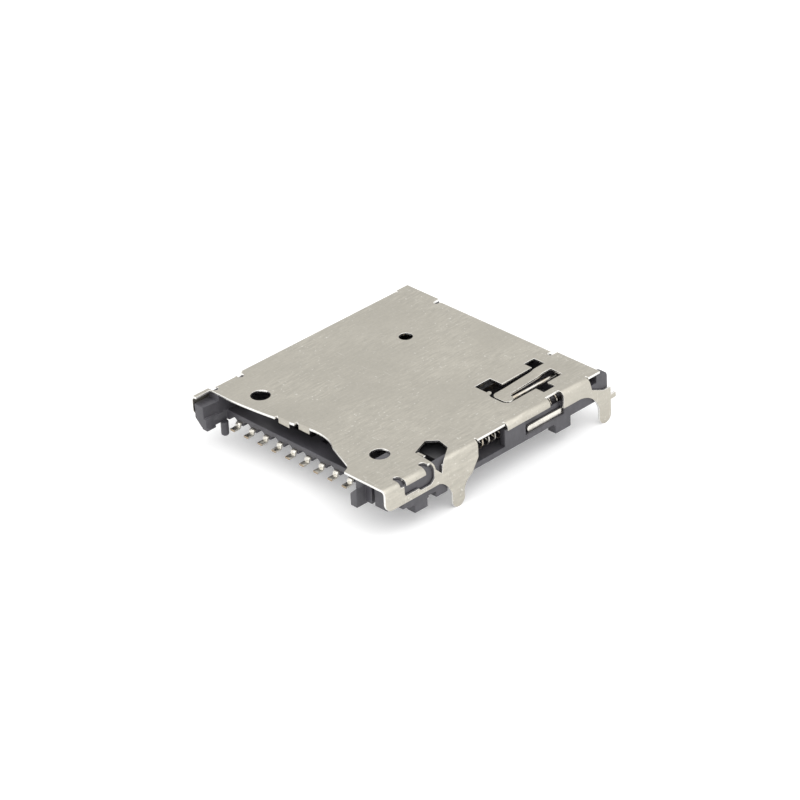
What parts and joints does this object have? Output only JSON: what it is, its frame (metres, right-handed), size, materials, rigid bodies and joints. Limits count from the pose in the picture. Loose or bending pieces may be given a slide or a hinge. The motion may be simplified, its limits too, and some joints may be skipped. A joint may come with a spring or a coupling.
{
  "type": "micro sd card socket",
  "caption": "Low push-push micro SD card socket: folded sheet cover with solder legs over a moulded housing, spring contacts, and a slider with heart-cam latch and coil spring.",
  "frame": {"origin": "middle of the cover's plate seen from above, on the board's face, at the middle of the housing's central foot pad", "axes": "+Y is the way the card goes in, +X is to the right looking into the slot, +Z points away from the board"},
  "size_m": [0.0152, 0.0176, 0.0033],
  "materials": {
    "housing": "black glass-filled moulding, fine matt texture",
    "cover": "satin nickel-plated stainless sheet with bright sheared edges",
    "contacts": "tin and gold plated copper alloy strip",
    "slider": "dark grey moulding",
    "spring_wire": "drawn stainless wire"
  },
  "bodies": {
    "base": {"housing": "housing", "cover": "cover", "contact_1": "contacts", "contact_2": "contacts", "contact_3": "contacts", "contact_4": "contacts", "contact_5": "contacts", "contact_6": "contacts", "contact_7": "contacts", "contact_8": "contacts", "detect_contact": "contacts", "coil_spring": "spring_wire"},
    "slider": {"slider": "slider"},
    "cam_rod": {"cam_rod": "spring_wire"}
  },
  "joints": [
    {"name": "slider_slide", "type": "slide", "parent": "base", "child": "slider", "axis": [0, 1, 0], "range_m": [0, 0.003], "stiffness_N_per_m": 120, "deforming": ["coil_spring"]},
    {"name": "cam_rod_swing", "type": "hinge", "parent": "base", "child": "cam_rod", "pos_m": [0.00532, 0.0069, 0.001], "axis": [0, 0, 1], "range_deg": [0, 4.9]}
  ],
  "couplings": [
    {"joint": "cam_rod_swing", "follows": "slider_slide", "rad_per_m": 28.07}
  ]
}
